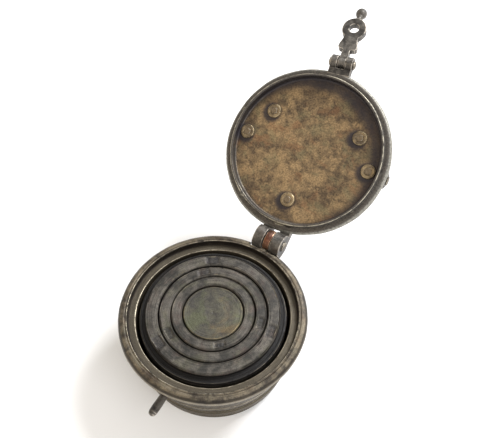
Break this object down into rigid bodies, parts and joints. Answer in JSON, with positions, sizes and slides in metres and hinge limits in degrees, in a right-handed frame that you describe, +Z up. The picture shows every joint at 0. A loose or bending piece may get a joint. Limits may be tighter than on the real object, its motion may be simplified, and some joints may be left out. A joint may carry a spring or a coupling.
{
  "type": "nest of cup weights in a hinged case",
  "caption": "Nest of tapered cup weights in a round, footed, hinge-lidded case with a bail handle on the lid, a fish-tail hasp and a catch peg.",
  "frame": {"origin": "centre of the foot's underside", "axes": "+Z up along the case's axis, +Y from the catch peg towards the hinge, +X along the hinge pin"},
  "size_m": [0.06, 0.1448, 0.0698],
  "materials": {
    "case_bronze": "worn, dark patina with bright edges",
    "weight_brass": "turned, greenish patina with bright rims",
    "lid_brass": "mottled golden and brown patina",
    "fitting_brass": "worn, dark patina",
    "tongue_brass": "worn, warm and reddish",
    "pin_brass": "worn bright"
  },
  "bodies": {
    "case": {"case": "case_bronze", "case_hinge_tongue": "tongue_brass", "catch_peg": "fitting_brass"},
    "cup_large": {"cup_large": "weight_brass"},
    "cup_medium": {"cup_medium": "weight_brass"},
    "cup_small": {"cup_small": "weight_brass"},
    "core_weight": {"core_weight": "weight_brass"},
    "lid": {"lid": "lid_brass", "lid_hinge_lug": "fitting_brass", "hinge_pin": "pin_brass", "hasp_lug": "fitting_brass", "hasp_pin": "pin_brass", "bail_post_left": "fitting_brass", "bail_post_right": "fitting_brass", "bail_pins": "pin_brass", "rest_stud_left": "fitting_brass", "rest_stud_right": "fitting_brass", "rest_stud_back": "fitting_brass", "rivet_roves": "pin_brass"},
    "hasp": {"hasp": "fitting_brass"},
    "bail": {"bail": "fitting_brass"}
  },
  "joints": [
    {"name": "lid_hinge", "type": "hinge", "parent": "case", "child": "lid", "pos_m": [0.0021, 0.0331, 0.0265], "axis": [-1, 0, 0], "range_deg": [-146, 0]},
    {"name": "hasp_hinge", "type": "hinge", "parent": "lid", "child": "hasp", "pos_m": [-0.0015, 0.08869, 0.06158], "axis": [-0.9903, -0.1154, -0.0778], "range_deg": [-114, 0]},
    {"name": "bail_hinge", "type": "hinge", "parent": "lid", "child": "bail", "pos_m": [0, 0.06501, 0.03838], "axis": [0.9976, 0.0578, 0.039], "range_deg": [-55.5, 123.5]},
    {"name": "cup_large_lift", "type": "slide", "parent": "case", "child": "cup_large", "axis": [0, 0, 1], "range_m": [0, 0.028]},
    {"name": "cup_medium_lift", "type": "slide", "parent": "cup_large", "child": "cup_medium", "axis": [0, 0, 1], "range_m": [0, 0.028]},
    {"name": "cup_small_lift", "type": "slide", "parent": "cup_medium", "child": "cup_small", "axis": [0, 0, 1], "range_m": [0, 0.028]},
    {"name": "core_weight_lift", "type": "slide", "parent": "cup_small", "child": "core_weight", "axis": [0, 0, 1], "range_m": [0, 0.028]}
  ]
}
